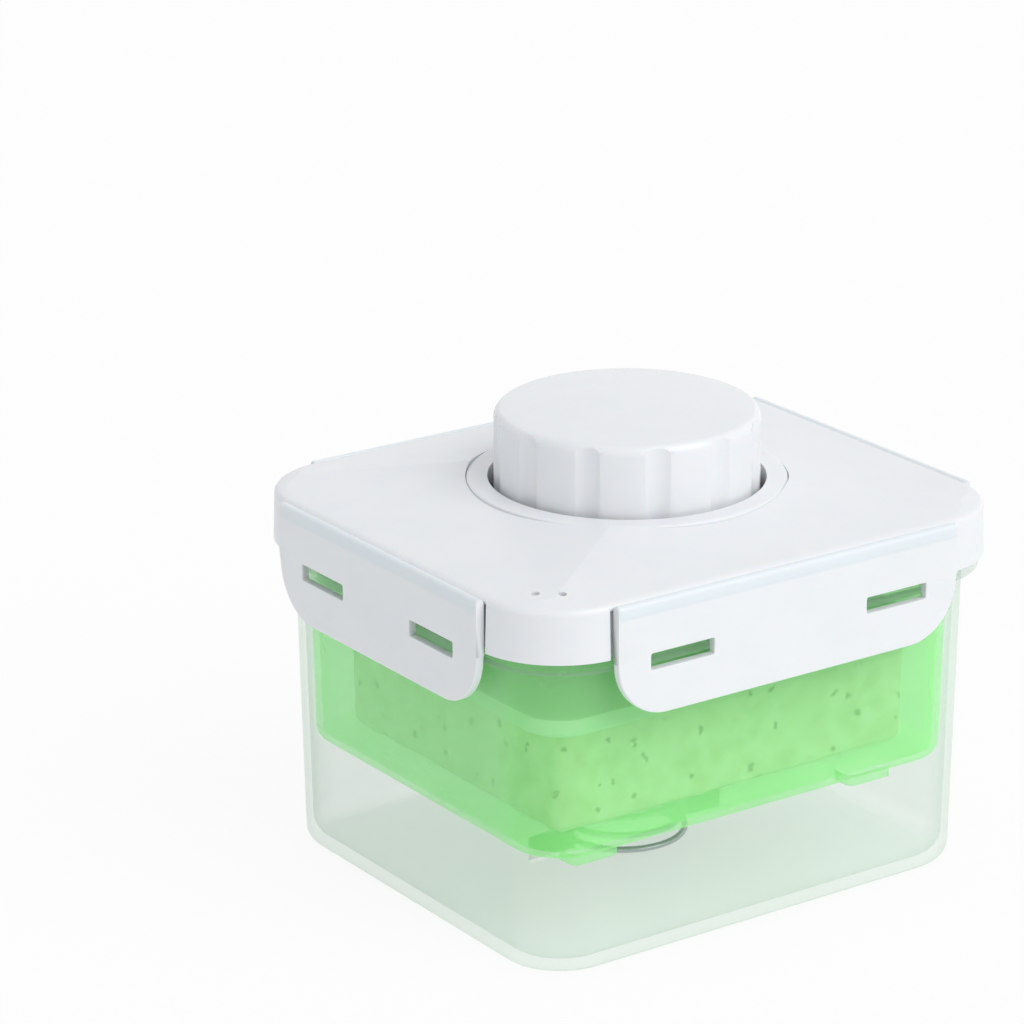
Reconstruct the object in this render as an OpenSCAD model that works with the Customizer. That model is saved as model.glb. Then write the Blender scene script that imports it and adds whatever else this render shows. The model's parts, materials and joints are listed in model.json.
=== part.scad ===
// Tofu press: a clear collector box, a spring-carried drip tray, a press plate
// and a four-flap lid whose round knob drives the plate down with a coarse screw.
// Z is up, X runs along the long side, and the origin is under the middle of the box.

/* [Collector box] */
// Length of the box at its rim
box_l = 148.4; // [130:0.2:170]
// Width of the box at its rim
box_w = 129.9; // [115:0.2:150]
// Height of the box to its lip
box_h = 98; // [92:0.5:115]
// Corner radius of the box at its rim
box_r = 20; // [16:0.5:22]
// Wall of the box
box_wall = 2; // [1.5:0.1:2.6]
// Floor of the box
box_floor = 2.5; // [1.8:0.1:3.5]
// Draft of the walls, in degrees
draft = 1.1; // [0.6:0.1:1.4]
// Rounding where the walls meet the floor, outside
foot_round = 4.5; // [3:0.5:6]
// Rounding where the walls meet the floor, inside
floor_round = 5; // [3:0.5:7]
// Height of the rim band
band_h = 3.8; // [2.5:0.1:5]
// Height of the lip above the rim band
lip_h = 9.4; // [7:0.2:12]
// Thickness added outside the wall along the lip
lip_extra = 1.2; // [0.6:0.1:1.8]

/* [Lid] */
// How far the lid's skirt stands out past the box rim
lid_over = 5.3; // [4.5:0.1:7]
// Corner radius of the lid
lid_r = 24.5; // [20:0.5:28]
// Depth of the skirt at the corners
skirt_h = 14.5; // [12:0.5:16]
// Thickness of the lid's skin
skin = 2.2; // [1.8:0.1:2.6]
// Rise of the four sloping faces from the lid's edge to the ring
lid_rise = 3.9; // [2:0.1:5]
// Rounding along the lid's top edge
lid_round = 2; // [1:0.25:2.5]
// Height of the seal under the lid
seal_h = 2.6; // [2:0.1:3.2]
// Diameter of a pouring hole
pour_d = 2.3; // [1.5:0.1:3]
// Distance of the pouring holes from the box corner's centre
pour_reach = 16.6; // [14:0.1:16.8]
// Angle between the two pouring holes at the box corner's centre
pour_spread = 24; // [18:1:36]

/* [Flaps] */
// Width of the two long flaps
flap_long = 110.5; // [90:0.5:116]
// Width of the two short flaps
flap_short = 93.5; // [80:0.5:96]
// Thickness of a flap
flap_t = 2.4; // [2:0.1:2.6]
// Length of a flap below its hinge
flap_h = 29.8; // [26:0.2:34]
// Radius of a flap's lower corners
flap_r = 15.5; // [8:0.5:18]
// Length of a locking slot
slot_l = 20; // [14:0.5:24]
// Height of a locking slot
slot_h = 4.5; // [3.8:0.1:5.5]
// Distance of each slot's centre from the middle of a long flap
slot_long = 35; // [28:0.5:40]
// Distance of each slot's centre from the middle of a short flap
slot_short = 25.8; // [22:0.5:32]
// Distance that a locking lug stands out of the rim band
lug_out = 2.3; // [1.6:0.1:2.6]

/* [Knob and screw] */
// Radius of the knob
knob_r = 35.9; // [32:0.1:38]
// Height of the knob's side
knob_side = 20.1; // [16:0.1:24]
// Rise of the knob's crown above its side
knob_crown = 4.7; // [4:0.1:6]
// Rounding round the knob's top
knob_round = 3; // [1.5:0.5:3.5]
// Wall of the knob
knob_wall = 2.4; // [1.8:0.1:3]
// Number of grip hollows round the knob
grips = 12; // [8:1:16]
// Depth of a grip hollow
grip_depth = 0.9; // [0.5:0.1:1.2]
// Radius of a grip hollow
grip_r = 9; // [6:0.5:12]
// Radius of the screw's thread, to the middle of its depth
thread_r = 10.25; // [9.5:0.25:11]
// Depth of the thread above and below that radius
thread_depth = 0.75; // [0.5:0.05:0.9]
// Number of starts of the thread
starts = 3; // [2:1:4]
// Lead of the thread, which is also the knob's travel in one turn
lead = 16; // [12:1:16]
// Radius of the fixing screw's shank
fixing_r = 1.9; // [1.5:0.1:2.5]

/* [Collar] */
// Wall of the collar's cup
cup_wall = 2.2; // [1.6:0.1:2.6]
// Floor of the collar's cup
cup_floor = 3; // [2.2:0.1:4]
// Height of the threaded boss, from the cup's underside
boss_h = 14; // [11:0.5:14]
// Width of the collar's flange outside its cup
flange_out = 3.5; // [2.5:0.1:4.5]
// Thickness of the collar's flange
flange_t = 3; // [2:0.1:3.4]

/* [Drip tray] */
// Gap between the tray and the box
tray_gap = 1.9; // [1:0.1:3]
// Wall of the tray
tray_wall = 1.8; // [1.4:0.1:2.4]
// Floor of the tray
tray_floor = 2; // [1.6:0.1:3]
// Depth of the tray over all, without its feet
tray_h = 55; // [50:0.5:56]
// Height of the tray's feet
foot_h = 3.3; // [2:0.1:5]
// Diameter of a drain hole
drain_d = 4; // [2:0.5:6]
// Distance between drain holes
drain_step = 15; // [12:0.5:18]

/* [Press plate and foot] */
// Gap between the plate and the tray, at the plate's lowest place
plate_gap = 2.4; // [1.2:0.1:4]
// Thickness of the plate
plate_t = 2.5; // [2:0.1:4]
// Height of the plate's rim over all
plate_h = 5; // [4:0.1:7]
// Radius of the pressure foot
press_r = 24; // [20:0.5:30]
// Thickness of the pressure foot's disc
press_t = 3.5; // [2.5:0.1:5]
// Thickness of the retaining ring
ring_t = 2.5; // [2:0.1:3]

/* [Tofu block] */
// Length of the block
tofu_l = 117; // [90:1:120]
// Width of the block
tofu_w = 100; // [80:1:106]
// Height of the block
tofu_h = 30.2; // [24:0.1:32]
// Rounding of the block's edges
tofu_round = 3; // [1:0.5:5]

/* [Spring] */
// Radius of the coil, to the middle of the wire
coil_r = 16.5; // [12:0.5:20]
// Diameter of the wire
wire_d = 1.8; // [1.2:0.1:2.2]
// Free height of the spring as it stands in the box
coil_h = 27.9; // [22:0.1:30]
// Open turns between the two closed end turns
open_turns = 4; // [3:1:5]

/* [Fits] */
// Clearance between pieces that move against each other
run_gap = 0.3; // [0.2:0.05:0.4]
// Clearance between the thread and its nut
thread_gap = 0.4; // [0.3:0.05:0.5]
// Gap between the knob and its collar
knob_gap = 1.7; // [1:0.1:2.5]
// Gap between a flap and the corner skirts beside it
flap_gap = 1.2; // [0.8:0.1:2]

/* [Hidden] */
$fn = 96;

band_top = box_h - lip_h;
band_z = band_top - band_h;
core_x = box_l / 2 - box_r;
core_y = box_w / 2 - box_r;
lip_off = box_r + lip_extra;

lid_x = box_l / 2 + lid_over;
lid_y = box_w / 2 + lid_over;
lid_z = band_top + run_gap;
lid_edge = lid_z + skirt_h;
lid_core_x = lid_x - lid_r;
lid_core_y = lid_y - lid_r;
seal_top = box_h + seal_h;
seal_out = lip_off - 0.2;
rib_t = 1.8;
rib_drop = 1.2;

hinge_out = 0.55;
hinge_x = lid_x + hinge_out;
hinge_y = lid_y + hinge_out;
bead_r = flap_t / 2;
hinge_z = lid_edge - bead_r - 0.5;
slot_z = band_z - 0.6;
band_off = hinge_y - bead_r - run_gap - 0.1 - core_y;

through = 40;

spring_gap = 0.2;
tray_z = box_floor + coil_h + 2 * spring_gap;
tray_top = tray_z + tray_h;
tofu_z = tray_z + tray_floor;
plate_z = tofu_z + tofu_h + run_gap;
press_z = plate_z + plate_h;
socket_wall = 3.4;
stem_flange_r = 9.2;
stem_flange_t = 3.2;
stem_neck_r = 7;
socket_r = stem_flange_r + run_gap;
socket_z = press_z + 2;
stem_z = socket_z + run_gap;
ring_z = stem_z + stem_flange_t + run_gap;

collar_in = knob_r + knob_gap;
collar_out = collar_in + cup_wall;
flange_r = collar_out + flange_out;
lid_slope_x = lid_rise / (lid_x - flange_r);
lid_slope_y = lid_rise / (lid_y - flange_r);
flange_z = lid_edge + lid_rise - 1.2;
flange_top = flange_z + flange_t;
cup_z = tray_top - 2;
boss_r = thread_r + thread_depth + thread_gap + 3.1;

travel = lead;
knob_z = cup_z + cup_floor + travel + 1.5;
knob_top = knob_z + knob_side + knob_crown;
thread_z = ring_z + ring_t + 5;
thread_end = cup_z + boss_h + travel + 1.2;
drive_h = 7.5;
drive_r = 8.2;
drive_wall = 4;
bore_r = fixing_r + 2.6;
head_h = 3;
head_z = thread_end - 10;
fixing_top = thread_end + drive_h + 2.4;
knob_roof = knob_z + knob_side + knob_crown - knob_wall - 1.6;
grip_turn = 6.8;

ring_steps = 24;
coil_sides = 6;
closed_rise = wire_d + 0.55;
turns = open_turns + 2;
coil_low = box_floor + spring_gap + wire_d / 2;
coil_rise = coil_h - wire_d;
open_pitch = (coil_rise - 2 * closed_rise) / open_turns;

// Points along an arc round a centre
function arc(centre, r, from, to, steps = 6) =
    [for (i = [0 : steps]) let (a = from + (to - from) * i / steps)
        centre + r * [cos(a), sin(a)]];

// Distance of the box's outer wall from its corner centre, at a height
function box_off(z) = box_r - (band_top - z) * tan(draft);
function tray_off(z) = box_off(z) - box_wall - tray_gap;
seal_in = box_off(box_h - rib_drop) - box_wall - run_gap;

// Sweeps a profile, drawn outward from the corner centre, round a rounded rectangle
module sweep_ring(half_x, half_y) {
    for (sx = [0, 1], sy = [0, 1])
        mirror([sx, 0, 0]) mirror([0, sy, 0])
            translate([half_x, half_y, 0]) rotate_extrude(angle = 90) children();
    for (s = [0, 1]) {
        mirror([s, 0, 0]) translate([half_x, half_y, 0])
            rotate([90, 0, 0]) linear_extrude(2 * half_y) children();
        mirror([0, s, 0]) translate([-half_x, half_y, 0])
            rotate([90, 0, 90]) linear_extrude(2 * half_x) children();
    }
}

module core(half_x, half_y, low, high)
    translate([-half_x, -half_y, low]) cube([2 * half_x, 2 * half_y, high - low]);

module round_plate(length, width, r) {
    square([length - 2 * r, width], center = true);
    square([length, width - 2 * r], center = true);
    for (x = [-1, 1], y = [-1, 1])
        translate([x * (length / 2 - r), y * (width / 2 - r)]) circle(r);
}

module box_profile() {
    inner = floor_round;
    polygon(concat(
        [[0, 0]],
        arc([box_off(foot_round) - foot_round, foot_round], foot_round, -90, 0),
        [[box_off(band_z), band_z], [band_off, band_z + 0.6], [band_off, band_top],
         [lip_off, band_top], [lip_off, box_h], [box_off(box_h) - box_wall, box_h]],
        arc([box_off(box_floor + inner) - box_wall - inner, box_floor + inner], inner, 0, -90),
        [[0, box_floor]]));
}

// One locking lug, drawn on the +Y side with its root in the rim band
module lug(x, face) {
    low = slot_z + run_gap + 0.1;
    high = slot_z + slot_h - run_gap - 0.1;
    translate([x, 0, 0]) rotate([90, 0, 90]) linear_extrude(slot_l - 1, center = true)
        polygon([[face - 1, low], [face, low], [face + lug_out, low + 1.2],
                 [face + lug_out, high - 0.2], [face, high], [face - 1, high]]);
}

module container() {
    catch_in = coil_r + wire_d / 2 + run_gap;
    catch_l = 14.5;
    catch_t = 1.6;
    catch_h = 7;
    color([0.88, 0.93, 0.9]) {
        sweep_ring(core_x, core_y) box_profile();
        core(core_x, core_y, 0, box_floor);
        for (turn = [0, 180]) rotate(turn) {
            for (x = [-slot_long, slot_long]) lug(x, core_y + band_off);
            rotate(90) for (x = [-slot_short, slot_short]) lug(x, core_x + band_off);
            translate([catch_in, -catch_t / 2, box_floor / 2])
                cube([catch_l, catch_t, catch_h + box_floor / 2]);
        }
    }
}

// Height of the wire's middle at each turn: closed end turns with open turns between
function coil_z(turn) =
    turn < 1 ? closed_rise * turn
    : turn > turns - 1 ? coil_rise - closed_rise * (turns - turn)
    : closed_rise + open_pitch * (turn - 1);
function coil_point(i) = let (a = 360 * i / ring_steps)
    [coil_r * cos(a), coil_r * sin(a), coil_low + coil_z(i / ring_steps)];
coil_rings = turns * ring_steps;
coil_path = [for (i = [0 : coil_rings]) coil_point(i)];
coil_gap = min([for (i = [0 : coil_rings - ring_steps / 2])
                for (j = [i + ring_steps / 2 : min(i + 2 * ring_steps, coil_rings)])
                norm(coil_path[i] - coil_path[j])]) - wire_d;
echo(least_gap_of_the_spring_to_itself = coil_gap);

module compression_spring() {
    ring = [for (i = [0 : coil_rings], s = [0 : coil_sides - 1])
        let (a = 360 * i / ring_steps, b = 360 * s / coil_sides, w = wire_d / 2)
        coil_path[i] + [w * cos(b) * cos(a), w * cos(b) * sin(a), w * sin(b)]];
    last = coil_rings * coil_sides;
    side = [for (i = [0 : coil_rings - 1], s = [0 : coil_sides - 1])
        let (n = (s + 1) % coil_sides, p = i * coil_sides, q = p + coil_sides)
        each [[p + s, q + s, q + n], [p + s, q + n, p + n]]];
    low_end = [for (s = [1 : coil_sides - 2]) [0, s, s + 1]];
    high_end = [for (s = [1 : coil_sides - 2]) [last, last + s + 1, last + s]];
    color([0.75, 0.76, 0.78]) polyhedron(ring, concat(side, low_end, high_end), convexity = 10);
}

module tray_profile() {
    out = 3;
    polygon(concat(
        [[0, tray_z]],
        arc([tray_off(tray_z + out) - out, tray_z + out], out, -90, 0, 4),
        [[tray_off(tray_top), tray_top], [tray_off(tray_top) - tray_wall, tray_top],
         [tray_off(tray_z) - tray_wall, tofu_z], [0, tofu_z]]));
}

module drip_tray() {
    foot_l = 15;
    foot_w = 8;
    foot_y = core_y + tray_off(tray_z) - foot_w / 2 - 4;
    foot_x = [core_x - 4, 13 - core_x];
    color([0.45, 0.85, 0.5]) difference() {
        union() {
            sweep_ring(core_x, core_y) tray_profile();
            core(core_x, core_y, tray_z, tofu_z);
            for (turn = [0, 180], x = foot_x) rotate(turn)
                translate([x, foot_y, tray_z - foot_h])
                    linear_extrude(foot_h + tray_floor / 2) round_plate(foot_l, foot_w, 2.5);
        }
        for (x = [-3 : 3], y = [-2 : 2])
            translate([x * drain_step, y * drain_step, tray_z - 1])
                cylinder(h = tray_floor + 2, d = drain_d);
    }
}

module tofu_block() {
    r = tofu_round;
    half_x = tofu_l / 2 - r;
    half_y = tofu_w / 2 - r;
    high = tofu_z + tofu_h;
    color([0.95, 0.92, 0.82]) {
        sweep_ring(half_x, half_y)
            polygon(concat([[0, tofu_z], [r, tofu_z]], arc([r - 1.5, high - 1.5], 1.5, 0, 90, 4),
                           [[0, high]]));
        core(half_x, half_y, tofu_z, high);
    }
}

plate_off = tray_off(plate_z - travel / 2) - tray_wall - plate_gap;

module press_plate() {
    rim = 2;
    web = plate_z + plate_t;
    high = plate_z + plate_h;
    color([0.95, 0.96, 0.96]) {
        sweep_ring(core_x, core_y)
            polygon(concat([[0, plate_z]], arc([plate_off - 1.5, plate_z + 1.5], 1.5, -90, 0, 4),
                           [[plate_off, high], [plate_off - rim, high], [plate_off - rim, web],
                            [0, web]]));
        core(core_x, core_y, plate_z, web);
        translate([0, 0, plate_z + plate_t / 2]) cylinder(h = plate_h - plate_t / 2, r = press_r + 2);
        for (turn = [0 : 30 : 330]) rotate(turn)
            translate([press_r, -1, plate_z + plate_t / 2])
                cube([core_y + plate_off - rim - press_r, 2, plate_h - plate_t / 2 - 1]);
    }
}

module pressure_foot() {
    color([0.93, 0.94, 0.94]) difference() {
        union() {
            translate([0, 0, press_z]) cylinder(h = press_t, r = press_r);
            translate([0, 0, press_z]) cylinder(h = ring_z - press_z, r = socket_r + socket_wall);
        }
        translate([0, 0, socket_z]) cylinder(h = ring_z - socket_z + 1, r = socket_r);
    }
}

module foot_retainer() {
    color([0.85, 0.86, 0.86]) translate([0, 0, ring_z]) difference() {
        cylinder(h = ring_t, r = socket_r + socket_wall);
        translate([0, 0, -1]) cylinder(h = ring_t + 2, r = stem_neck_r + run_gap);
    }
}

// Cross-section of the lid's roof over one half width: upright edge, rounding and slope
module roof_profile(half, slope, inset) {
    side = half - inset;
    top = lid_edge - inset;
    round = max(lid_round - inset, 0.3);
    right = arc([side - round, top - round], round, 0, 90, 4);
    peak = top + (side - round) * slope;
    left = [for (i = [len(right) - 1 : -1 : 0]) [-right[i][0], right[i][1]]];
    polygon(concat([[-side, lid_z - 1], [side, lid_z - 1]], right, [[0, peak]], left));
}

// The lid's outer form, or its hollow when inset by the skin
module lid_form(inset) {
    low = lid_z - (inset > 0 ? 1 : 0);
    side = lid_r - inset;
    top = lid_edge - inset;
    round = max(lid_round - inset, 0.3);
    corner_slope = 0.3;
    peak = top + (side - round) * corner_slope;
    intersection() {
        union() {
            sweep_ring(lid_core_x, lid_core_y)
                polygon(concat([[0, low], [side, low]],
                               arc([side - 0.4 - round, top - round], round, 0, 90, 4),
                               [[0, peak], [0, low]]));
            core(lid_core_x, lid_core_y, low, peak + 10);
        }
        translate([-lid_x - 1, 0, 0]) rotate([90, 0, 90])
            linear_extrude(2 * lid_x + 2) roof_profile(lid_y, lid_slope_y, inset);
        translate([0, lid_y + 1, 0]) rotate([90, 0, 0])
            linear_extrude(2 * lid_y + 2) roof_profile(lid_x, lid_slope_x, inset);
    }
}

// Space for one flap on the +Y side, with a groove round its hinge bead
module flap_space(width, wall_y, axis_y) {
    span = width + 2 * flap_gap;
    translate([-span / 2, wall_y - skin, lid_z - 2])
        cube([span, skin + 4, hinge_z - lid_z + 2]);
    translate([-span / 2, axis_y, hinge_z]) rotate([0, 90, 0])
        cylinder(h = span, r = bead_r + run_gap);
}

module lid_shell() {
    boss_out = flange_r + 2;
    color([0.94, 0.95, 0.96]) difference() {
        union() {
            difference() {
                lid_form(0);
                lid_form(skin);
            }
            intersection() {
                lid_form(0);
                union() {
                    sweep_ring(core_x, core_y)
                        translate([seal_in - rib_t, box_h - rib_drop])
                            square([seal_out + 2 * rib_t - seal_in, lid_edge - box_h - 0.2]);
                    translate([0, 0, flange_z - 3]) cylinder(h = 4, r = boss_out);
                }
            }
        }
        sweep_ring(core_x, core_y)
            translate([seal_in, box_h - rib_drop - 1])
                square([lip_off + 0.2 - seal_in, seal_top - box_h + rib_drop + 1]);
        for (turn = [0, 180]) rotate(turn) {
            flap_space(flap_long, lid_y, hinge_y);
            rotate(90) flap_space(flap_short, lid_x, hinge_x);
        }
        translate([0, 0, cup_z]) cylinder(h = through, r = collar_out + 0.1);
        translate([0, 0, flange_z]) cylinder(h = through, r = flange_r + 0.2);
        for (side = [-1, 1]) let (a = 225 + side * pour_spread / 2)
            translate([pour_reach * cos(a) - core_x, pour_reach * sin(a) - core_y, box_h - 3])
                cylinder(h = through, d = pour_d);
    }
}

module lid_gasket() {
    color([0.9, 0.91, 0.92]) sweep_ring(core_x, core_y)
        translate([seal_in, box_h]) square([seal_out - seal_in, seal_h]);
}

// Lobed outline of a coarse thread, the same at every height but turned with it
module thread_outline(grow) {
    steps = 36;
    polygon([for (i = [0 : steps - 1])
        let (a = 360 * i / steps, r = thread_r + grow + thread_depth * cos(starts * a))
        [r * cos(a), r * sin(a)]]);
}

// Thread between two heights, turned so that any two lengths of it mesh
module thread(low, high, grow) {
    slice = 15;
    edges = 36;
    turn = 360 * (high - low) / lead;
    translate([0, 0, low]) rotate(360 * low / lead)
        linear_extrude(high - low, twist = -turn, slices = ceil(turn / slice),
                       segments = edges)
            thread_outline(grow);
}

module thread_collar() {
    edge = 1.2;
    color([0.93, 0.94, 0.95]) difference() {
        rotate_extrude() polygon(concat(
            [[0, cup_z], [collar_out, cup_z], [collar_out, flange_z], [flange_r, flange_z]],
            arc([flange_r - edge, flange_top - edge], edge, 0, 90, 4),
            [[collar_in, flange_top], [collar_in, cup_z + cup_floor],
             [boss_r, cup_z + cup_floor], [boss_r, cup_z + boss_h], [0, cup_z + boss_h]]));
        thread(cup_z - 1, cup_z + boss_h + 1, thread_gap);
    }
}

// A flap on the +Y side, hanging from its hinge bead
module flap(width, axis_y, slot_x) {
    low = hinge_z - flap_h;
    color([0.93, 0.94, 0.95]) difference() {
        union() {
            translate([0, axis_y + bead_r, 0]) rotate([90, 0, 0]) linear_extrude(flap_t)
                intersection() {
                    translate([-width / 2, low]) square([width, flap_h]);
                    union() {
                        translate([-width / 2, low + flap_r]) square([width, flap_h - flap_r]);
                        translate([flap_r - width / 2, low]) square([width - 2 * flap_r, flap_h]);
                        for (x = [flap_r - width / 2, width / 2 - flap_r])
                            translate([x, low + flap_r]) circle(flap_r);
                    }
                }
            translate([-width / 2, axis_y, hinge_z]) rotate([0, 90, 0])
                cylinder(h = width, r = bead_r);
        }
        for (x = [-slot_x, slot_x])
            translate([x - slot_l / 2, axis_y - flap_t, slot_z]) cube([slot_l, 2 * flap_t, slot_h]);
    }
}

module flap_back() flap(flap_long, hinge_y, slot_long);
module flap_front() rotate(180) flap(flap_long, hinge_y, slot_long);
module flap_left() rotate(90) flap(flap_short, hinge_x, slot_short);
module flap_right() rotate(-90) flap(flap_short, hinge_x, slot_short);

module screw_stem() {
    color([0.9, 0.91, 0.92]) difference() {
        union() {
            translate([0, 0, stem_z]) cylinder(h = stem_flange_t, r = stem_flange_r);
            translate([0, 0, stem_z]) cylinder(h = thread_z - stem_z + 1, r = stem_neck_r);
            thread(thread_z, thread_end, 0);
            translate([0, 0, thread_end - 1]) cylinder(h = drive_h + 1, r = drive_r, $fn = 6);
        }
        translate([0, 0, stem_z - 1]) cylinder(h = head_z + head_h - stem_z + 1, r = bore_r);
        translate([0, 0, head_z]) cylinder(h = fixing_top - head_z, r = fixing_r + 0.2);
    }
}

module knob_shell() {
    side_top = knob_z + knob_side;
    shoulder = arc([knob_r - knob_round, side_top], knob_round, 0, 70, 5);
    join = shoulder[len(shoulder) - 1];
    crown = [for (i = [7 : -1 : 0]) let (r = join[0] * i / 8)
        [r, knob_top - (knob_top - join[1]) * pow(i / 8, 2)]];
    color([0.95, 0.96, 0.97]) difference() {
        union() {
            rotate_extrude() polygon(concat(
                [[knob_r - knob_wall, knob_z], [knob_r, knob_z]], shoulder, crown,
                [[0, knob_roof], [knob_r - knob_wall - 1.5, knob_roof],
                 [knob_r - knob_wall, knob_roof - 1.5]]));
            translate([0, 0, thread_end + 0.1])
                cylinder(h = knob_roof - thread_end + 0.5, r = drive_r + drive_wall);
        }
        translate([0, 0, thread_end - 1]) cylinder(h = drive_h + 1.2, r = drive_r + 0.15, $fn = 6);
        translate([0, 0, thread_end]) cylinder(h = fixing_top - thread_end + 0.3, r = fixing_r + 0.05);
        for (i = [0 : grips - 1]) rotate(grip_turn + 360 * i / grips)
            translate([knob_r + grip_r - grip_depth, 0, knob_z - 1])
                cylinder(h = knob_side + knob_crown + 2, r = grip_r);
    }
}

module knob_screw() {
    slot_span = 2 * bore_r - 4.6;
    slot_wide = 1;
    slot_deep = 1.4;
    color([0.7, 0.71, 0.73]) difference() {
        union() {
            translate([0, 0, head_z]) cylinder(h = head_h, r = bore_r - 0.6);
            translate([0, 0, head_z]) cylinder(h = fixing_top - head_z, r = fixing_r);
        }
        for (turn = [0, 90]) rotate(turn)
            translate([-slot_span / 2, -slot_wide / 2, head_z - 1])
                cube([slot_span, slot_wide, slot_deep + 1]);
    }
}

container();
compression_spring();
drip_tray();
tofu_block();
press_plate();
pressure_foot();
foot_retainer();
lid_shell();
lid_gasket();
thread_collar();
flap_front();
flap_back();
flap_left();
flap_right();
screw_stem();
knob_shell();
knob_screw();
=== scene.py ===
import json
import math

import bmesh
import bpy
from mathutils import Matrix, Vector, noise


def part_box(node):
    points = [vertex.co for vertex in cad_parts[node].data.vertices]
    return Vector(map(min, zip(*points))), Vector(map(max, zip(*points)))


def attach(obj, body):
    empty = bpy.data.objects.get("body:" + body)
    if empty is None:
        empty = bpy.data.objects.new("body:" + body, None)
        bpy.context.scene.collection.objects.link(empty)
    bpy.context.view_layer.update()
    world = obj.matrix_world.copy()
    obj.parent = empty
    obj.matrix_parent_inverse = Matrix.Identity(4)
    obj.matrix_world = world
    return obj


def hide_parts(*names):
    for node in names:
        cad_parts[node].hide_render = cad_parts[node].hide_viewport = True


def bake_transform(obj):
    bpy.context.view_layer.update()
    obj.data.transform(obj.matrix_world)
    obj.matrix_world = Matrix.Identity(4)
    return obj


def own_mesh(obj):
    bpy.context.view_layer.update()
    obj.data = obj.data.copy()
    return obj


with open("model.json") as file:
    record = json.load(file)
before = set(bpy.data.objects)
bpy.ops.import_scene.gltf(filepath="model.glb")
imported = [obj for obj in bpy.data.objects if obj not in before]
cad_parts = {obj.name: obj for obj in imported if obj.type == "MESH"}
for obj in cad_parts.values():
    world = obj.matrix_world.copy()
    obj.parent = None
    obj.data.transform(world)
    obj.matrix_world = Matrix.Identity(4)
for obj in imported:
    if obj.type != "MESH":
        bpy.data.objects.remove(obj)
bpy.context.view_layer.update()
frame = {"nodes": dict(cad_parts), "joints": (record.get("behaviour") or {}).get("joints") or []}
nodes = frame["nodes"]

mm = 0.001
sides = ("front", "back", "left", "right")


# small tools

def linearColour(hexText, alpha=1.0):
    # sRGB hex to the linear values that shaders take
    channels = [int(hexText[i:i + 2], 16) / 255 for i in (0, 2, 4)]
    linear = [c / 12.92 if c <= 0.04045 else ((c + 0.055) / 1.055) ** 2.4 for c in channels]
    return (*linear, alpha)


def socketOf(sockets, name):
    # a mix node has several sockets of one name, and only those of its data type are enabled
    if isinstance(name, int):
        return sockets[name]
    return next(socket for socket in sockets if socket.enabled and socket.name == name)


def addNode(tree, kind, settings=None, inputs=None, links=None):
    # adds one node: settings are its properties, inputs its values, links its incoming sockets
    node = tree.nodes.new(kind)
    for name, value in (settings or {}).items():
        setattr(node, name, value)
    for name, value in (inputs or {}).items():
        socketOf(node.inputs, name).default_value = value
    for name, socket in (links or {}).items():
        tree.links.new(socket, socketOf(node.inputs, name))
    return node


def newMaterial(name):
    material = bpy.data.materials.new(name)
    material.use_nodes = True
    material.node_tree.nodes.clear()
    return material, material.node_tree


# camera, fitted to the photograph

camera = {
    "place": (-0.64342, -0.87350, 0.47322),  # metres from the middle of the box's underside
    "yaw": 34.74,            # degrees from +Y towards +X
    "pitch": 19.12,          # degrees down
    "roll": -0.28,           # degrees
    "lens": 149.51,          # millimetres
    "sensor": 36,            # millimetres across
    "farthest": 20,          # metres
}


def placeCamera(spec):
    data = bpy.data.cameras.new("photoCamera")
    data.lens = spec["lens"]
    data.sensor_width = spec["sensor"]
    data.clip_end = spec["farthest"]
    eye = bpy.data.objects.new("photoCamera", data)
    bpy.context.scene.collection.objects.link(eye)
    turn = Matrix.Rotation(math.radians(-spec["yaw"]), 4, "Z")
    tilt = Matrix.Rotation(math.radians(90 - spec["pitch"]), 4, "X")
    roll = Matrix.Rotation(math.radians(spec["roll"]), 4, "Z")
    eye.matrix_world = Matrix.Translation(spec["place"]) @ turn @ tilt @ roll
    bpy.context.scene.camera = eye


placeCamera(camera)
bpy.context.scene.view_settings.view_transform = "Standard"
print("camera placed")


# materials

whitePp = {
    "colour": "F3F4F6",
    "cloud": "EDEFF1",       # its duller patches
    "cloudFrom": (0.45, 0.8),  # height of the slow ripple where they start and are full
    "cloudShare": 0.5,
    "roughness": 0.3,
    "glossDrift": (-0.05, 0.06),  # least and most that is added to the roughness
    "grain": 1.2 * mm,       # spacing of the faint tool texture
    "grainDepth": 0.02 * mm,
    "grainForce": 0.05,
    "ripple": 18 * mm,       # slow unevenness of a moulded face
    "ior": 1.49,
    "scatter": 0.12,         # share of the light that spreads under the skin
    "scatterDepth": 1.5 * mm,
}

glossyPp = {**whitePp, "roughness": 0.22}
mattePp = {**whitePp, "colour": "EEF0F1", "roughness": 0.45}


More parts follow.
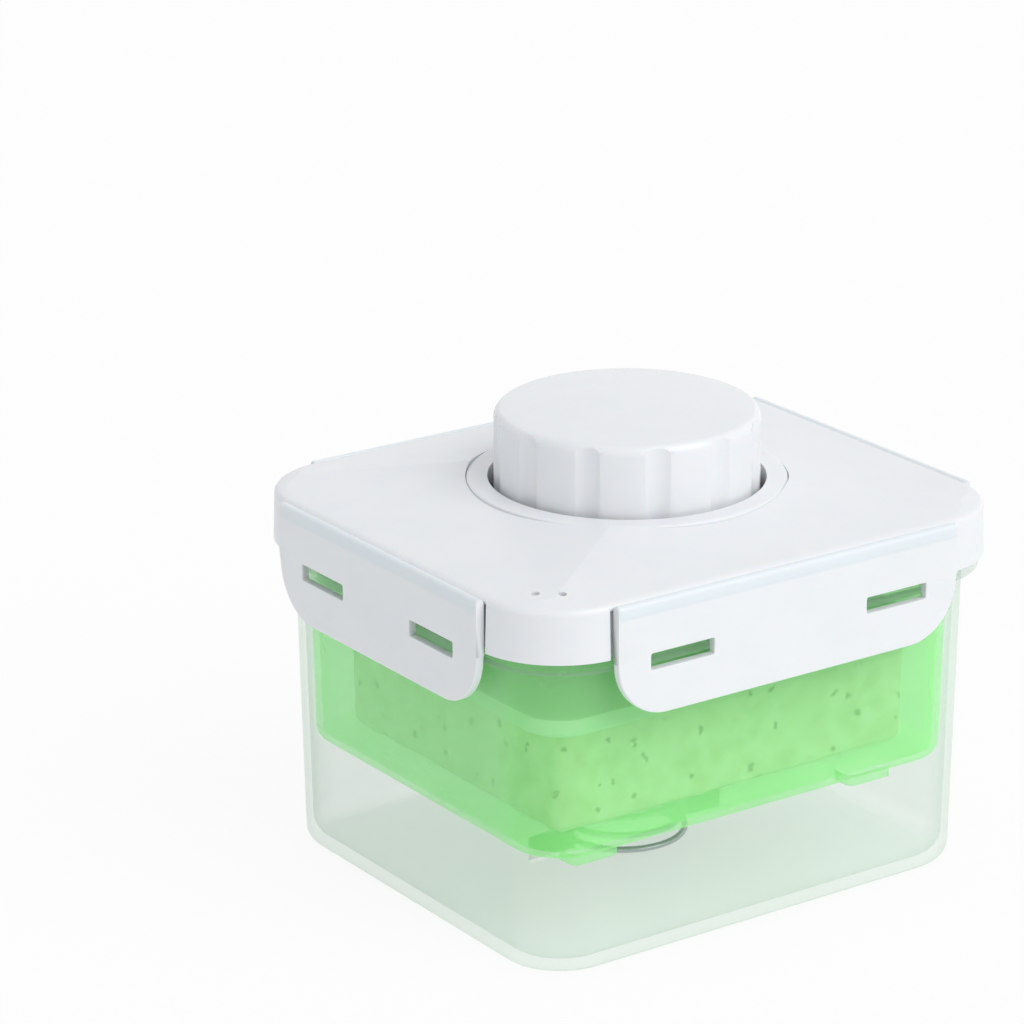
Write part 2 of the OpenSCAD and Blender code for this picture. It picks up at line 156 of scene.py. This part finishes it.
def mouldedWhite(name, spec):
    # injection-moulded polypropylene: milky white, satin gloss, light glows a little in thin edges
    material, tree = newMaterial(name)
    point = addNode(tree, "ShaderNodeTexCoord").outputs["Object"]
    fine = addNode(tree, "ShaderNodeTexNoise", inputs={"Scale": 1 / spec["grain"], "Detail": 2},
                   links={"Vector": point})
    slow = addNode(tree, "ShaderNodeTexNoise", inputs={"Scale": 1 / spec["ripple"], "Detail": 3},
                   links={"Vector": point})
    smoother, rougher = spec["glossDrift"]
    shine = addNode(tree, "ShaderNodeMapRange",
                    inputs={"To Min": spec["roughness"] + smoother, "To Max": spec["roughness"] + rougher},
                    links={"Value": slow.outputs["Fac"]})
    thin, thick = spec["cloudFrom"]
    cloud = addNode(tree, "ShaderNodeMapRange",
                    inputs={"From Min": thin, "From Max": thick, "To Max": spec["cloudShare"]},
                    links={"Value": slow.outputs["Fac"]})
    colour = addNode(tree, "ShaderNodeMix", {"data_type": "RGBA"},
                     inputs={"A": linearColour(spec["colour"]), "B": linearColour(spec["cloud"])},
                     links={"Factor": cloud.outputs["Result"]})
    bump = addNode(tree, "ShaderNodeBump",
                   inputs={"Strength": spec["grainForce"], "Distance": spec["grainDepth"]},
                   links={"Height": fine.outputs["Fac"]})
    shader = addNode(tree, "ShaderNodeBsdfPrincipled",
                     inputs={"IOR": spec["ior"], "Subsurface Weight": spec["scatter"],
                             "Subsurface Scale": spec["scatterDepth"]},
                     links={"Base Color": socketOf(colour.outputs, "Result"),
                            "Roughness": shine.outputs["Result"],
                            "Normal": bump.outputs["Normal"]})
    addNode(tree, "ShaderNodeOutputMaterial", links={"Surface": shader.outputs["BSDF"]})
    return material


clearPp = {
    # the haze's green-grey tint is partly its own and partly painted light, standing in for green light
    # that comes through the tray
    "colour": "D2EBDD",
    "cloud": "E3F3E9",
    "cloudSize": 14 * mm,
    "roughness": 0.12,
    "glossDrift": (-0.03, 0.05),
    "faceOn": 0.09,          # share hidden by one skin of the wall, seen square on
    "edgeOn": 0.5,           # and seen along the skin
    "falloff": 2.2,          # how late between the two the skin thickens
    "shade": 0.25,           # share of that haze that also stops light
    "glow": 0.0,
    "ior": 1.49,
}

greenPp = {
    **clearPp,
    "colour": "74F45C",
    "cloud": "8CFB76",
    "cloudSize": 9 * mm,
    "roughness": 0.25,
    "faceOn": 0.26,
    "edgeOn": 0.72,
    "shade": 0.2,
    "glow": 0.24,            # painted glow, standing in for light that the wall scatters along inside itself
}


def tintedSkin(name, spec):
    # see-through polypropylene: a slightly cloudy skin that hides more at a glancing angle
    material, tree = newMaterial(name)
    point = addNode(tree, "ShaderNodeTexCoord").outputs["Object"]
    slow = addNode(tree, "ShaderNodeTexNoise", inputs={"Scale": 1 / spec["cloudSize"], "Detail": 3},
                   links={"Vector": point})
    smoother, rougher = spec["glossDrift"]
    shine = addNode(tree, "ShaderNodeMapRange",
                    inputs={"To Min": spec["roughness"] + smoother, "To Max": spec["roughness"] + rougher},
                    links={"Value": slow.outputs["Fac"]})
    colour = addNode(tree, "ShaderNodeMix", {"data_type": "RGBA"},
                     inputs={"A": linearColour(spec["colour"]), "B": linearColour(spec["cloud"])},
                     links={"Factor": slow.outputs["Fac"]})
    glance = addNode(tree, "ShaderNodeLayerWeight", inputs={"Blend": 0.5})
    steep = addNode(tree, "ShaderNodeMath", {"operation": "POWER"}, inputs={1: spec["falloff"]},
                    links={0: glance.outputs["Facing"]})
    cover = addNode(tree, "ShaderNodeMapRange",
                    inputs={"To Min": spec["faceOn"], "To Max": spec["edgeOn"]},
                    links={"Value": steep.outputs[0]})
    path = addNode(tree, "ShaderNodeLightPath")
    passed = addNode(tree, "ShaderNodeMapRange", inputs={"To Min": 1.0, "To Max": spec["shade"]},
                     links={"Value": path.outputs["Is Shadow Ray"]})  # haze lets most light on
    alpha = addNode(tree, "ShaderNodeMath", {"operation": "MULTIPLY"},
                    links={0: cover.outputs["Result"], 1: passed.outputs["Result"]})
    # the emission paints a glow of the skin's own colour onto it, as strong as glow
    shader = addNode(tree, "ShaderNodeBsdfPrincipled",
                     inputs={"IOR": spec["ior"], "Emission Strength": spec["glow"]},
                     links={"Base Color": socketOf(colour.outputs, "Result"),
                            "Emission Color": socketOf(colour.outputs, "Result"),
                            "Roughness": shine.outputs["Result"],
                            "Alpha": alpha.outputs[0]})
    addNode(tree, "ShaderNodeOutputMaterial", links={"Surface": shader.outputs["BSDF"]})
    return material


curd = {
    "colour": "FFFCF0",
    "shade": "B9AE7C",
    "speck": "5C4420",
    "lump": 6 * mm,          # size of the mottles
    "pitDepth": 0.4 * mm,
    "pitForce": 0.5,
    "speckStep": 6.5 * mm,   # distance between neighbouring specks
    "speckReach": (0.12, 0.2),  # a speck's core and rim, as shares of that distance
    "speckForce": 0.9,
    "bend": 5 * mm,          # how far a speck is pulled out of round
    "bendStep": 3 * mm,
    "roughness": 0.5,
    "ior": 1.38,
    "scatter": 0.2,
    "scatterDepth": 2 * mm,
}


def pressedCurd(spec):
    # firm pressed bean curd: wet cream white, mottled, with small pits and brown flecks of hull
    material, tree = newMaterial("pressedBeanCurd")
    point = addNode(tree, "ShaderNodeTexCoord").outputs["Object"]
    mottle = addNode(tree, "ShaderNodeTexNoise", inputs={"Scale": 1 / spec["lump"], "Detail": 5},
                     links={"Vector": point})
    base = addNode(tree, "ShaderNodeMix", {"data_type": "RGBA"},
                   inputs={"A": linearColour(spec["colour"]), "B": linearColour(spec["shade"])},
                   links={"Factor": mottle.outputs["Fac"]})
    warp = addNode(tree, "ShaderNodeTexNoise", inputs={"Scale": 1 / spec["bendStep"], "Detail": 2},
                   links={"Vector": point})
    bent = addNode(tree, "ShaderNodeVectorMath", {"operation": "MULTIPLY_ADD"},
                   inputs={1: [spec["bend"]] * 3},
                   links={0: warp.outputs["Color"], 2: point})
    cells = addNode(tree, "ShaderNodeTexVoronoi", inputs={"Scale": 1 / spec["speckStep"]},
                    links={"Vector": bent.outputs["Vector"]})
    core, rim = spec["speckReach"]
    fleck = addNode(tree, "ShaderNodeMapRange",
                    inputs={"From Min": core, "From Max": rim, "To Min": spec["speckForce"],
                            "To Max": 0.0},
                    links={"Value": cells.outputs["Distance"]})
    colour = addNode(tree, "ShaderNodeMix", {"data_type": "RGBA"},
                     inputs={"B": linearColour(spec["speck"])},
                     links={"Factor": fleck.outputs["Result"], "A": socketOf(base.outputs, "Result")})
    bump = addNode(tree, "ShaderNodeBump",
                   inputs={"Strength": spec["pitForce"], "Distance": spec["pitDepth"]},
                   links={"Height": mottle.outputs["Fac"]})
    shader = addNode(tree, "ShaderNodeBsdfPrincipled",
                     inputs={"Roughness": spec["roughness"], "IOR": spec["ior"],
                             "Subsurface Weight": spec["scatter"],
                             "Subsurface Scale": spec["scatterDepth"]},
                     links={"Base Color": socketOf(colour.outputs, "Result"),
                            "Normal": bump.outputs["Normal"]})
    addNode(tree, "ShaderNodeOutputMaterial", links={"Surface": shader.outputs["BSDF"]})
    return material


wireSteel = {
    "colour": "9DA1A5",
    "roughness": 0.2,
    "glossDrift": (-0.06, 0.1),
    "scratch": 0.6 * mm,     # spacing of the scratches, drawn coarser than real so that they show
}

turnedSteel = {**wireSteel, "colour": "C9CBCD", "roughness": 0.3}


def scratchedSteel(name, spec):
    # stainless steel, drawn or turned: bright grey with fine scratches from the die or the tool
    material, tree = newMaterial(name)
    point = addNode(tree, "ShaderNodeTexCoord").outputs["Object"]
    scratch = addNode(tree, "ShaderNodeTexNoise", inputs={"Scale": 1 / spec["scratch"], "Detail": 2},
                      links={"Vector": point})
    smoother, rougher = spec["glossDrift"]
    shine = addNode(tree, "ShaderNodeMapRange",
                    inputs={"To Min": spec["roughness"] + smoother, "To Max": spec["roughness"] + rougher},
                    links={"Value": scratch.outputs["Fac"]})
    shader = addNode(tree, "ShaderNodeBsdfPrincipled",
                     inputs={"Base Color": linearColour(spec["colour"]), "Metallic": 1.0},
                     links={"Roughness": shine.outputs["Result"]})
    addNode(tree, "ShaderNodeOutputMaterial", links={"Surface": shader.outputs["BSDF"]})
    return material


sealSilicone = {
    "colour": "E8EBEE",
    "roughness": (0.5, 0.65),
    "dust": 2 * mm,          # size of the dusty patches
    "sheen": 0.2,
    "ior": 1.41,
}


def castSilicone(spec):
    # cast silicone: matt white with a dusty sheen
    material, tree = newMaterial("castSilicone")
    point = addNode(tree, "ShaderNodeTexCoord").outputs["Object"]
    dust = addNode(tree, "ShaderNodeTexNoise", inputs={"Scale": 1 / spec["dust"], "Detail": 2},
                   links={"Vector": point})
    clean, dusty = spec["roughness"]
    shine = addNode(tree, "ShaderNodeMapRange", inputs={"To Min": clean, "To Max": dusty},
                    links={"Value": dust.outputs["Fac"]})
    shader = addNode(tree, "ShaderNodeBsdfPrincipled",
                     inputs={"Base Color": linearColour(spec["colour"]), "IOR": spec["ior"],
                             "Sheen Weight": spec["sheen"]},
                     links={"Roughness": shine.outputs["Result"]})
    addNode(tree, "ShaderNodeOutputMaterial", links={"Surface": shader.outputs["BSDF"]})
    return material


lidWhite = mouldedWhite("satinWhitePolypropylene", whitePp)
knobWhite = mouldedWhite("glossWhitePolypropylene", glossyPp)
innerWhite = mouldedWhite("matteWhitePolypropylene", mattePp)
clear = tintedSkin("clarifiedPolypropylene", clearPp)
green = tintedSkin("dyedGreenPolypropylene", greenPp)
tofu = pressedCurd(curd)
wire = scratchedSteel("drawnStainlessWire", wireSteel)
screwSteel = scratchedSteel("turnedStainless", turnedSteel)
silicone = castSilicone(sealSilicone)
print("materials made")


# pieces that keep the solid's form and get moulded edges

moulding = {
    "weld": 0.002 * mm,      # corners closer than this are one
    "flat": 0.3,             # degrees, below which a fold is no edge
    "fold": (3, 20),         # degrees between two sloping faces
    "sharp": 32,             # degrees, above which an edge with no bevel is crisp
    "segments": 3,
    "flatFirst": 80,         # how much large faces lead the shading
}


def meshPiece(name, mesh, material):
    piece = bpy.data.objects.new(name, mesh)
    bpy.context.scene.collection.objects.link(piece)
    mesh.materials.clear()
    mesh.materials.append(material)
    return piece


def settleModifiers(piece):
    # keeps the result of the modifiers as a plain mesh
    bpy.context.view_layer.update()
    evaluated = piece.evaluated_get(bpy.context.evaluated_depsgraph_get())
    mesh = bpy.data.meshes.new_from_object(evaluated)
    piece.modifiers.clear()
    piece.data = mesh
    return piece


def mouldedCopy(name, nodeName, body, material, spec, foldsAbove=math.inf,
                bevelBelow=math.inf):
    # a copy of a solid with its loose triangles joined and its sharp edges rounded
    mesh = nodes[nodeName].data.copy()
    form = bmesh.new()
    form.from_mesh(mesh)
    bmesh.ops.remove_doubles(form, verts=form.verts, dist=moulding["weld"])
    bmesh.ops.dissolve_limit(form, angle_limit=math.radians(moulding["flat"]), verts=form.verts,
                             edges=form.edges)
    bmesh.ops.triangulate(form, faces=form.faces)  # a face round an opening folds over when bevelled
    for face in form.faces:
        face.smooth = True
    weight = form.edges.layers.float.new("bevel_weight_edge")
    least, most = moulding["fold"]
    for edge in form.edges:
        turn = math.degrees(edge.calc_face_angle(0))
        heights = [vert.co.z for vert in edge.verts]
        # a shallow fold between two sloping faces stays crisp, and so does an edge with no bevel
        shallow = least < turn < most and min(heights) > foldsAbove
        bevelled = spec["edge"] > 0 and turn > spec["crease"] and max(heights) < bevelBelow
        edge[weight] = 1.0 if bevelled else 0.0
        edge.smooth = bevelled or not (shallow or turn > moulding["sharp"])
    form.to_mesh(mesh)
    form.free()
    piece = meshPiece(name, mesh, material)
    if spec["edge"] > 0:
        bevel = piece.modifiers.new("mouldedEdge", "BEVEL")
        bevel.width = spec["edge"]
        bevel.segments = moulding["segments"]
        bevel.limit_method = "WEIGHT"
        bevel.use_clamp_overlap = False
        bevel.miter_outer = "MITER_ARC"
    evenShade = piece.modifiers.new("evenShade", "WEIGHTED_NORMAL")
    evenShade.weight = moulding["flatFirst"]
    evenShade.keep_sharp = True
    settleModifiers(piece)
    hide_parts(nodeName)
    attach(piece, body)
    return piece


# each piece's rounded edge, and the least angle in degrees that is rounded
boxEdge = {"edge": 0.35 * mm, "crease": 50}
trayEdge = {"edge": 0.3 * mm, "crease": 50}
knobEdge = {"edge": 0.25 * mm, "crease": 40}
plateEdge = {"edge": 0.3 * mm, "crease": 50}
flapEdge = {"edge": 0.4 * mm, "crease": 60}
plainEdge = {"edge": 0, "crease": 0}

lid = {
    "slopes": 5 * mm,        # only folds within this of its top are kept crisp
}

lip = {
    "rise": 1.9 * mm,        # height of the solid's lip above the lid
    "drawn": 0.4,            # share of it that is drawn, as the photographed one is low
}

hinge = {
    "bead": 1.2 * mm,
    "thickness": 0.16 * mm,
    "feather": 0.03 * mm,    # thickness of the web where it ends on the flap
    "lift": 0.01 * mm,       # keeps the web off the bead
    "rise": 150,             # degrees round the bead, on the lid's side
    "bendFrom": 108,         # degrees round the bead where the web starts to follow the flap
    "drop": 2.4 * mm,        # how far it feathers out down the flap
    "endGap": 0.3 * mm,
    "steps": 14,
    "crease": 40,            # degrees
}


def hingeJoint(side):
    return next(joint for joint in frame["joints"] if joint["child"] == side + "_flap")


def lowerLip(collar, spec):
    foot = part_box("thread_collar")[1].z - spec["rise"]
    for vert in collar.data.vertices:
        if vert.co.z > foot:
            vert.co.z = foot + spec["drawn"] * (vert.co.z - foot)


mouldedCopy("collectorBox", "container", "housing", clear, boxEdge)
mouldedCopy("dripTray", "drip_tray", "tray", green, trayEdge)
mouldedCopy("lidShell", "lid_shell", "housing", lidWhite, plainEdge,
            foldsAbove=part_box("lid_shell")[1].z - lid["slopes"])
lowerLip(mouldedCopy("threadCollar", "thread_collar", "housing", lidWhite,
                     plainEdge), lip)
mouldedCopy("turningKnob", "knob_shell", "knob", knobWhite, knobEdge)
mouldedCopy("pressPlate", "press_plate", "presser", innerWhite, plateEdge)
for side in sides:
    beadFoot = hingeJoint(side)["pos_m"][2] - hinge["bead"]  # the bead keeps its solid's ends
    mouldedCopy(side + "FlapPanel", "flap_" + side, side + "_flap", lidWhite,
                flapEdge, bevelBelow=beadFoot)
print("moulded pieces made")

for nodeName, material in (("pressure_foot", innerWhite), ("foot_retainer", innerWhite),
                           ("screw_stem", innerWhite), ("knob_screw", screwSteel),
                           ("lid_gasket", silicone)):
    nodes[nodeName].data.materials.clear()
    nodes[nodeName].data.materials.append(material)


# living hinges: a thin web over each hinge bead

def hingeWeb(side, spec):
    axis = Vector(hingeJoint(side)["pos_m"])
    low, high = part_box("flap_" + side)
    out = Vector((axis.x, axis.y, 0)).normalized()
    along = Vector((-out.y, out.x, 0))
    half = max(high.x - low.x, high.y - low.y) / 2 - spec["endGap"]
    centre = Vector((0, 0, axis.z)) + out * (axis.x * out.x + axis.y * out.y)
    inner = [out * spec["bead"] - Vector((0, 0, spec["drop"]))]
    outer = [inner[0] + out * spec["feather"]]
    for i in range(spec["steps"] + 1):
        angle = math.radians(spec["rise"] * i / spec["steps"])
        ray = out * math.cos(angle) + Vector((0, 0, math.sin(angle)))
        inner.append(ray * (spec["bead"] + spec["lift"]))
        outer.append(ray * (spec["bead"] + spec["thickness"]))
    outline = outer + inner[::-1]
    form = bmesh.new()
    ends = [[form.verts.new(centre + p + along * s) for p in outline] for s in (-half, half)]
    count = len(outline)
    for i in range(count):
        n = (i + 1) % count
        form.faces.new((ends[0][i], ends[0][n], ends[1][n], ends[1][i]))
    for i in range(count // 2 - 1):
        j = count - 1 - i
        form.faces.new((ends[0][i], ends[0][j], ends[0][j - 1], ends[0][i + 1]))
        form.faces.new((ends[1][i], ends[1][i + 1], ends[1][j - 1], ends[1][j]))
    bmesh.ops.recalc_face_normals(form, faces=form.faces)
    mesh = bpy.data.meshes.new(side + "HingeWeb")
    form.to_mesh(mesh)
    form.free()
    piece = meshPiece(side + "HingeWeb", mesh, lidWhite)
    mesh.shade_smooth()
    mesh.set_sharp_from_angle(angle=math.radians(spec["crease"]))
    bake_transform(piece)


for side in sides:
    hingeWeb(side, hinge)
print("hinge webs made")


# tofu block

block = {
    "cuts": 44,
    "edge": 3 * mm,
    "wobble": 0.5 * mm,      # unevenness of the pressed faces
    "inset": 0.1 * mm,       # keeps the highest swelling inside the solid's box
    "broad": 11 * mm,        # size of the broad swellings
    "broadShare": 0.6,
    "fine": 4 * mm,          # and of the fine ones
    "fineShare": 0.4,
}


def tofuBlock(spec):
    low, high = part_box("tofu_block")
    size = high - low
    form = bmesh.new()
    bmesh.ops.create_cube(form, size=1)
    bmesh.ops.subdivide_edges(form, edges=form.edges, cuts=spec["cuts"], use_grid_fill=True)
    centre = (low + high) / 2
    half = size / 2 - Vector([spec["wobble"] + spec["inset"]] * 3)
    core = half - Vector([spec["edge"]] * 3)
    for vert in form.verts:
        spot = Vector([2 * vert.co[i] * half[i] for i in range(3)])
        held = Vector([max(-core[i], min(core[i], spot[i])) for i in range(3)])
        ray = (spot - held).normalized()
        face = held + ray * spec["edge"]
        broad = noise.noise(face / spec["broad"]) * spec["broadShare"]
        fine = noise.noise(face / spec["fine"]) * spec["fineShare"]
        vert.co = centre + face + ray * (broad + fine) * spec["wobble"]
    mesh = bpy.data.meshes.new("tofuBlock")
    form.to_mesh(mesh)
    form.free()
    piece = meshPiece("tofuBlock", mesh, tofu)
    mesh.shade_smooth()
    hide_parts("tofu_block")
    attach(piece, "tray")
    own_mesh(piece)


tofuBlock(block)
print("tofu made")


# spring, wound by Geometry Nodes

spring = {
    "Radius": 16.5 * mm,
    "Wire": 0.9 * mm,
    "Start": 3.6 * mm,       # height of the wire's middle where it starts
    "Closed rise": 2.35 * mm,
    "Open pitch": 5.35 * mm,
    "Open turns": 4.0,
    "Steps": 40.0,           # points in each turn
}


def springTree(spec, material):
    tree = bpy.data.node_groups.new("woundSpring", "GeometryNodeTree")
    tree.interface.new_socket("Geometry", in_out="OUTPUT", socket_type="NodeSocketGeometry")
    for name in spec:
        tree.interface.new_socket(name, in_out="INPUT", socket_type="NodeSocketFloat")
    given = addNode(tree, "NodeGroupInput").outputs

    # one closed turn at each end, and the open turns between them
    turns = addNode(tree, "ShaderNodeMath", {"operation": "ADD"}, {1: 2.0},
                    {0: given["Open turns"]}).outputs[0]
    count = addNode(tree, "ShaderNodeMath", {"operation": "MULTIPLY_ADD"}, {2: 1.0},
                    {0: turns, 1: given["Steps"]}).outputs[0]
    line = addNode(tree, "GeometryNodeMeshLine", links={"Count": count})
    curve = addNode(tree, "GeometryNodeMeshToCurve", links={"Mesh": line.outputs["Mesh"]})
    index = addNode(tree, "GeometryNodeInputIndex").outputs["Index"]
    turn = addNode(tree, "ShaderNodeMath", {"operation": "DIVIDE"},
                   links={0: index, 1: given["Steps"]}).outputs[0]

    # how much of each stretch lies below a point
    lowTurn = addNode(tree, "ShaderNodeMath", {"operation": "MINIMUM"}, {1: 1.0},
                      {0: turn}).outputs[0]
    aboveLow = addNode(tree, "ShaderNodeMath", {"operation": "SUBTRACT"}, {1: 1.0},
                       {0: turn}).outputs[0]
    openTurn = addNode(tree, "ShaderNodeClamp", inputs={"Min": 0.0},
                       links={"Value": aboveLow, "Max": given["Open turns"]}).outputs[0]
    aboveOpen = addNode(tree, "ShaderNodeMath", {"operation": "SUBTRACT"},
                        links={0: aboveLow, 1: given["Open turns"]}).outputs[0]
    topTurn = addNode(tree, "ShaderNodeMath", {"operation": "MAXIMUM"}, {1: 0.0},
                      {0: aboveOpen}).outputs[0]
    closedTurn = addNode(tree, "ShaderNodeMath", {"operation": "ADD"},
                         links={0: lowTurn, 1: topTurn}).outputs[0]
    closedHeight = addNode(tree, "ShaderNodeMath", {"operation": "MULTIPLY_ADD"},
                           links={0: closedTurn, 1: given["Closed rise"],
                                  2: given["Start"]}).outputs[0]
    height = addNode(tree, "ShaderNodeMath", {"operation": "MULTIPLY_ADD"},
                     links={0: openTurn, 1: given["Open pitch"], 2: closedHeight}).outputs[0]

    angle = addNode(tree, "ShaderNodeMath", {"operation": "MULTIPLY"}, {1: 2 * math.pi},
                    {0: turn}).outputs[0]
    across = addNode(tree, "ShaderNodeMath", {"operation": "COSINE"}, links={0: angle}).outputs[0]
    aside = addNode(tree, "ShaderNodeMath", {"operation": "SINE"}, links={0: angle}).outputs[0]
    ray = addNode(tree, "ShaderNodeCombineXYZ", links={"X": across, "Y": aside})
    flat = addNode(tree, "ShaderNodeVectorMath", {"operation": "SCALE"},
                   links={0: ray.outputs[0], "Scale": given["Radius"]})
    lift = addNode(tree, "ShaderNodeCombineXYZ", links={"Z": height})
    place = addNode(tree, "ShaderNodeVectorMath", {"operation": "ADD"},
                    links={0: flat.outputs[0], 1: lift.outputs[0]})
    moved = addNode(tree, "GeometryNodeSetPosition",
                    links={"Geometry": curve.outputs["Curve"], "Position": place.outputs[0]})

    ring = addNode(tree, "GeometryNodeCurvePrimitiveCircle", inputs={"Resolution": 14},
                   links={"Radius": given["Wire"]})
    tube = addNode(tree, "GeometryNodeCurveToMesh", inputs={"Fill Caps": True},
                   links={"Curve": moved.outputs["Geometry"],
                          "Profile Curve": ring.outputs["Curve"]})
    smooth = addNode(tree, "GeometryNodeSetShadeSmooth", links={"Geometry": tube.outputs["Mesh"]})
    real = addNode(tree, "GeometryNodeRealizeInstances",
                   links={"Geometry": smooth.outputs["Geometry"]})
    painted = addNode(tree, "GeometryNodeSetMaterial", inputs={"Material": material},
                      links={"Geometry": real.outputs["Geometry"]})
    addNode(tree, "NodeGroupOutput", links={"Geometry": painted.outputs["Geometry"]})
    return tree


def woundSpring(spec, material):
    mesh = bpy.data.meshes.new("compressionSpring")
    piece = bpy.data.objects.new("compressionSpring", mesh)
    bpy.context.scene.collection.objects.link(piece)
    tree = springTree(spec, material)
    modifier = piece.modifiers.new("woundSpring", "NODES")
    modifier.node_group = tree
    for item in tree.interface.items_tree:
        if item.in_out == "INPUT":
            modifier[item.identifier] = spec[item.name]
    settleModifiers(piece)
    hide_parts("compression_spring")
    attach(piece, "housing")
    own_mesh(piece)


woundSpring(spring, wire)
print("spring made")


# floor, world and lamps

studio = {
    "floorHalf": 6.0,        # metres
    "floorDrop": 0.15 * mm,
    "floorColour": "FDFDFD",
    "floorWhite": 0.9,       # share of plain white in the floor where it is seen
    "sky": "F9FCFF",
    "ambient": 0.62,
    "white": "FFFFFF",
    "sun": 1.25,
    "sunFrom": (0.25, -0.75, 0.75),
    "sunSpread": 50,         # degrees across, for soft shadows
}


def seenRays(tree):
    # 1 for the camera's rays and for those that a surface mirrors or sends through
    path = addNode(tree, "ShaderNodeLightPath")
    mirrored = addNode(tree, "ShaderNodeMath", {"operation": "MAXIMUM"},
                       links={0: path.outputs["Is Camera Ray"], 1: path.outputs["Is Glossy Ray"]})
    through = addNode(tree, "ShaderNodeMath", {"operation": "MAXIMUM"},
                      links={0: mirrored.outputs[0], 1: path.outputs["Is Transmission Ray"]})
    return through.outputs[0]


def studioFloor(spec):
    half = spec["floorHalf"]
    drop = -spec["floorDrop"]
    corners = [(-half, -half, drop), (half, -half, drop), (half, half, drop), (-half, half, drop)]
    mesh = bpy.data.meshes.new("studioFloor")
    mesh.from_pydata(corners, [], [(0, 1, 2, 3)])
    material, tree = newMaterial("paleStudioFloor")
    paint = addNode(tree, "ShaderNodeBsdfDiffuse", inputs={"Color": linearColour(spec["floorColour"])})
    glow = addNode(tree, "ShaderNodeEmission",
                   inputs={"Color": linearColour(spec["white"]), "Strength": 1.0})
    share = addNode(tree, "ShaderNodeMath", {"operation": "MULTIPLY"},
                    inputs={1: spec["floorWhite"]}, links={0: seenRays(tree)})
    mix = addNode(tree, "ShaderNodeMixShader",
                  links={0: share.outputs[0], 1: paint.outputs[0], 2: glow.outputs[0]})
    addNode(tree, "ShaderNodeOutputMaterial", links={"Surface": mix.outputs[0]})
    floor = meshPiece("studioFloor", mesh, material)


def studioLight(spec):
    world = bpy.data.worlds.new("softStudio")
    world.use_nodes = True
    tree = world.node_tree
    tree.nodes.clear()
    soft = addNode(tree, "ShaderNodeBackground",
                   inputs={"Color": linearColour(spec["sky"]), "Strength": spec["ambient"]})
    white = addNode(tree, "ShaderNodeBackground",
                    inputs={"Color": linearColour(spec["white"]), "Strength": 1.0})
    mix = addNode(tree, "ShaderNodeMixShader",
                  links={0: seenRays(tree), 1: soft.outputs[0], 2: white.outputs[0]})
    addNode(tree, "ShaderNodeOutputWorld", links={"Surface": mix.outputs[0]})
    bpy.context.scene.world = world

    data = bpy.data.lights.new("softKey", "SUN")
    data.energy = spec["sun"]
    data.angle = math.radians(spec["sunSpread"])
    lamp = bpy.data.objects.new("softKey", data)
    bpy.context.scene.collection.objects.link(lamp)
    lamp.rotation_euler = Vector(spec["sunFrom"]).to_track_quat("Z", "Y").to_euler()


studioFloor(studio)
studioLight(studio)
print("studio made")
